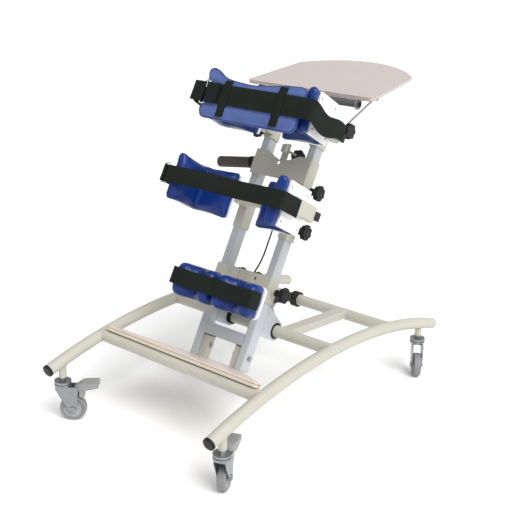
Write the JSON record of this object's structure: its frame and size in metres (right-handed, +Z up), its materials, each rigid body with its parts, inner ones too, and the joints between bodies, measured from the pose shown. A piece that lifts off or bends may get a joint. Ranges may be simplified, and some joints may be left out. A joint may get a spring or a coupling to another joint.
{
  "type": "prone tilt table",
  "caption": "Wheeled child's prone tilt table: bowed tube base, tilting twin-rail mast with footboard, knee, hip and chest pads, straps and a tilting tray.",
  "frame": {"origin": "on the floor below the centre of the bounding box", "axes": "+X to the user's right across the base, +Y along the base towards the tray's far side, +Z up"},
  "size_m": [0.6848, 1.13, 0.9652],
  "materials": {
    "cream_enamel": "satin powder coat",
    "silver_enamel": "silver-grey satin powder coat",
    "dark_grey_enamel": "dark grey satin",
    "black_plastic": "moulded, fine grain",
    "grey_plastic": "moulded",
    "white_board": "smooth laminate",
    "zinc_steel": "zinc plated",
    "chrome_steel": "bright",
    "grey_rubber": "non-marking tread",
    "blue_vinyl": "glossy dark blue coated fabric over foam",
    "blue_nylon": "padded nylon",
    "black_webbing": "woven webbing",
    "pale_wood": "clear-lacquered beech plywood",
    "grey_foam": "closed-cell foam"
  },
  "bodies": {
    "base_frame": {"side_rail_left": "cream_enamel", "side_rail_right": "cream_enamel", "cross_frame": "cream_enamel", "rail_end_plugs": "black_plastic", "spring_anchor": "black_plastic"},
    "mast": {"mast_rail_left": "silver_enamel", "mast_rail_right": "silver_enamel", "mast_crossbar": "silver_enamel", "pivot_bearings": "black_plastic", "footboard": "pale_wood", "footboard_legs": "cream_enamel", "leg_plugs": "black_plastic", "mast_bolts": "zinc_steel", "tray_hinge_tube": "dark_grey_enamel", "release_cable": "black_plastic"},
    "gas_spring_cylinder": {"gas_cylinder": "black_plastic"},
    "gas_spring_rod": {"gas_rod": "zinc_steel"},
    "knee_unit": {"knee_carriage": "cream_enamel", "knee_strap": "black_webbing"},
    "knee_left": {"knee_bracket_left": "white_board", "knee_cushion_left": "blue_vinyl"},
    "knee_right": {"knee_bracket_right": "white_board", "knee_cushion_right": "blue_vinyl"},
    "knee_left_knob": {"knee_knob_left": "black_plastic"},
    "knee_right_knob": {"knee_knob_right": "black_plastic"},
    "knee_clamp": {"knee_clamp_knob": "black_plastic"},
    "handle_unit": {"handle_bracket": "cream_enamel"},
    "handle_clamp": {"handle_clamp_knob": "black_plastic"},
    "handle_rear_clamp": {"handle_rear_knob": "black_plastic"},
    "lever": {"release_lever": "grey_foam"},
    "hip_unit": {"hip_carriage": "cream_enamel", "hip_strap": "black_webbing"},
    "hip_clamp": {"hip_clamp_knob": "black_plastic"},
    "hip_left": {"hip_arm_left": "cream_enamel", "hip_cushion_left": "blue_vinyl"},
    "hip_right": {"hip_arm_right": "cream_enamel", "hip_cushion_right": "blue_vinyl"},
    "chest_unit": {"chest_carriage": "cream_enamel", "chest_strap": "black_webbing", "chest_belt": "blue_nylon"},
    "chest_clamp": {"chest_clamp_knob": "black_plastic"},
    "chest_left": {"chest_arm_left": "cream_enamel", "chest_cushion_left": "blue_vinyl"},
    "chest_right": {"chest_arm_right": "cream_enamel", "chest_cushion_right": "blue_vinyl"},
    "tray": {"tray_board": "pale_wood", "tray_bracket": "zinc_steel"},
    "strut_pivot": {"strut_eye": "zinc_steel"},
    "strut": {"tray_strut": "chrome_steel"},
    "strut_clamp": {"strut_knob": "black_plastic"},
    "caster_front_left": {"caster_fork_front_left": "zinc_steel"},
    "wheel_front_left": {"caster_wheel_front_left": "grey_rubber"},
    "brake_front_left": {"brake_pedal_front_left": "grey_plastic"},
    "caster_front_right": {"caster_fork_front_right": "zinc_steel"},
    "wheel_front_right": {"caster_wheel_front_right": "grey_rubber"},
    "brake_front_right": {"brake_pedal_front_right": "grey_plastic"},
    "caster_rear_left": {"caster_fork_rear_left": "zinc_steel"},
    "wheel_rear_left": {"caster_wheel_rear_left": "grey_rubber"},
    "caster_rear_right": {"caster_fork_rear_right": "zinc_steel"},
    "wheel_rear_right": {"caster_wheel_rear_right": "grey_rubber"}
  },
  "joints": [
    {"name": "mast_tilt", "type": "hinge", "parent": "base_frame", "child": "mast", "pos_m": [0, -0.036, 0.241], "axis": [-1, 0, 0], "range_deg": [0, 35], "deforming": ["release_cable"]},
    {"name": "spring_swing", "type": "hinge", "parent": "base_frame", "child": "gas_spring_cylinder", "pos_m": [-0.05, 0.244, 0.22802], "axis": [-1, 0, 0], "range_deg": [0, 8]},
    {"name": "spring_stroke", "type": "slide", "parent": "gas_spring_cylinder", "child": "gas_spring_rod", "axis": [0, -0.9827, 0.1852], "range_m": [-0.04, 0.001]},
    {"name": "knee_height", "type": "slide", "parent": "mast", "child": "knee_unit", "axis": [0, 0.4648, 0.8854], "range_m": [-0.004, 0.045]},
    {"name": "knee_width_left", "type": "slide", "parent": "knee_unit", "child": "knee_left", "axis": [-1, 0, 0], "range_m": [0, 0.015], "deforming": ["knee_strap"]},
    {"name": "knee_width_right", "type": "slide", "parent": "knee_unit", "child": "knee_right", "axis": [1, 0, 0], "range_m": [0, 0.015], "deforming": ["knee_strap"]},
    {"name": "knee_left_knob_turn", "type": "hinge", "parent": "knee_left", "child": "knee_left_knob", "pos_m": [-0.029, -0.05497, 0.38988], "axis": [0, 0.8854, -0.4648], "range_deg": [0, 270]},
    {"name": "knee_right_knob_turn", "type": "hinge", "parent": "knee_right", "child": "knee_right_knob", "pos_m": [0.029, -0.05497, 0.38988], "axis": [0, 0.8854, -0.4648], "range_deg": [0, 270]},
    {"name": "knee_clamp_turn", "type": "hinge", "parent": "knee_unit", "child": "knee_clamp", "pos_m": [0.13, -0.0652, 0.3704], "axis": [1, 0, 0], "range_deg": [0, 270]},
    {"name": "hip_height", "type": "slide", "parent": "mast", "child": "hip_unit", "axis": [0, 0.4648, 0.8854], "range_m": [-0.045, 0.006]},
    {"name": "hip_width_left", "type": "slide", "parent": "hip_unit", "child": "hip_left", "axis": [-1, 0, 0], "range_m": [-0.025, 0.03], "deforming": ["hip_strap"]},
    {"name": "hip_width_right", "type": "slide", "parent": "hip_unit", "child": "hip_right", "axis": [1, 0, 0], "range_m": [-0.025, 0.03], "deforming": ["hip_strap"]},
    {"name": "hip_clamp_turn", "type": "hinge", "parent": "hip_unit", "child": "hip_clamp", "pos_m": [0.13, 0.02266, 0.53774], "axis": [1, 0, 0], "range_deg": [0, 270]},
    {"name": "handle_height", "type": "slide", "parent": "mast", "child": "handle_unit", "axis": [0, 0.4648, 0.8854], "range_m": [-0.02, 0.008], "deforming": ["release_cable"]},
    {"name": "handle_clamp_turn", "type": "hinge", "parent": "handle_unit", "child": "handle_clamp", "pos_m": [0.13, 0.07751, 0.64222], "axis": [1, 0, 0], "range_deg": [0, 270]},
    {"name": "rear_knob_turn", "type": "hinge", "parent": "handle_unit", "child": "handle_rear_clamp", "pos_m": [0, 0.15988, 0.71305], "axis": [0, 0.8854, -0.4648], "range_deg": [0, 270]},
    {"name": "release_lever_lift", "type": "hinge", "parent": "handle_unit", "child": "lever", "pos_m": [-0.114, 0.12079, 0.68162], "axis": [0, 0.8854, -0.4648], "range_deg": [0, 12], "stiffness_Nm_per_rad": 6, "springref_deg": -5.73},
    {"name": "chest_height", "type": "slide", "parent": "mast", "child": "chest_unit", "axis": [0, 0.4648, 0.8854], "range_m": [-0.014, 0.008]},
    {"name": "chest_width_left", "type": "slide", "parent": "chest_unit", "child": "chest_left", "axis": [-1, 0, 0], "range_m": [-0.025, 0.03], "deforming": ["chest_strap", "chest_belt"]},
    {"name": "chest_width_right", "type": "slide", "parent": "chest_unit", "child": "chest_right", "axis": [1, 0, 0], "range_m": [-0.025, 0.03], "deforming": ["chest_strap", "chest_belt"]},
    {"name": "chest_clamp_turn", "type": "hinge", "parent": "chest_unit", "child": "chest_clamp", "pos_m": [-0.13, 0.14677, 0.77414], "axis": [-1, 0, 0], "range_deg": [0, 270]},
    {"name": "tray_tilt", "type": "hinge", "parent": "mast", "child": "tray", "pos_m": [0, 0.19379, 0.88951], "axis": [1, 0, 0], "range_deg": [-8.5, 12]},
    {"name": "strut_swing", "type": "hinge", "parent": "mast", "child": "strut_pivot", "pos_m": [0.142, 0.1717, 0.81301], "axis": [1, 0, 0], "range_deg": [-7.5, 10]},
    {"name": "strut_slide", "type": "slide", "parent": "strut_pivot", "child": "strut", "axis": [0, 0.9177, 0.3972], "range_m": [-0.012, 0.016]},
    {"name": "strut_knob_turn", "type": "hinge", "parent": "strut_pivot", "child": "strut_clamp", "pos_m": [0.165, 0.1717, 0.81301], "axis": [1, 0, 0], "range_deg": [0, 270]},
    {"name": "caster_swivel_front_left", "type": "hinge", "parent": "base_frame", "child": "caster_front_left", "pos_m": [-0.295, -0.505, 0.1], "axis": [0, 0, 1], "continuous": true},
    {"name": "wheel_spin_front_left", "type": "hinge", "parent": "caster_front_left", "child": "wheel_front_left", "pos_m": [-0.27205, -0.48727, 0.0375], "axis": [-0.6115, 0.7912, 0], "continuous": true},
    {"name": "brake_press_front_left", "type": "hinge", "parent": "caster_front_left", "child": "brake_front_left", "pos_m": [-0.26572, -0.48237, 0.0987], "axis": [-0.6115, 0.7912, 0], "range_deg": [0, 11]},
    {"name": "caster_swivel_front_right", "type": "hinge", "parent": "base_frame", "child": "caster_front_right", "pos_m": [0.295, -0.505, 0.1], "axis": [0, 0, 1], "continuous": true},
    {"name": "wheel_spin_front_right", "type": "hinge", "parent": "caster_front_right", "child": "wheel_front_right", "pos_m": [0.2839, -0.47821, 0.0375], "axis": [-0.9239, -0.3827, 0], "continuous": true},
    {"name": "brake_press_front_right", "type": "hinge", "parent": "caster_front_right", "child": "brake_front_right", "pos_m": [0.28084, -0.47082, 0.0987], "axis": [-0.9239, -0.3827, 0], "range_deg": [0, 11]},
    {"name": "caster_swivel_rear_left", "type": "hinge", "parent": "base_frame", "child": "caster_rear_left", "pos_m": [-0.295, 0.472, 0.1], "axis": [0, 0, 1], "continuous": true},
    {"name": "wheel_spin_rear_left", "type": "hinge", "parent": "caster_rear_left", "child": "wheel_rear_left", "pos_m": [-0.31245, 0.44884, 0.0375], "axis": [0.7986, -0.6018, 0], "continuous": true},
    {"name": "caster_swivel_rear_right", "type": "hinge", "parent": "base_frame", "child": "caster_rear_right", "pos_m": [0.295, 0.472, 0.1], "axis": [0, 0, 1], "continuous": true},
    {"name": "wheel_spin_rear_right", "type": "hinge", "parent": "caster_rear_right", "child": "wheel_rear_right", "pos_m": [0.31245, 0.44884, 0.0375], "axis": [0.7986, 0.6018, 0], "continuous": true}
  ],
  "couplings": [
    {"joint": "spring_swing", "follows": "mast_tilt", "ratio": 0.17762},
    {"joint": "spring_stroke", "follows": "mast_tilt", "m_per_rad": -0.052014},
    {"joint": "strut_swing", "follows": "tray_tilt", "ratio": 0.72737},
    {"joint": "strut_slide", "follows": "tray_tilt", "m_per_rad": 0.060218}
  ]
}
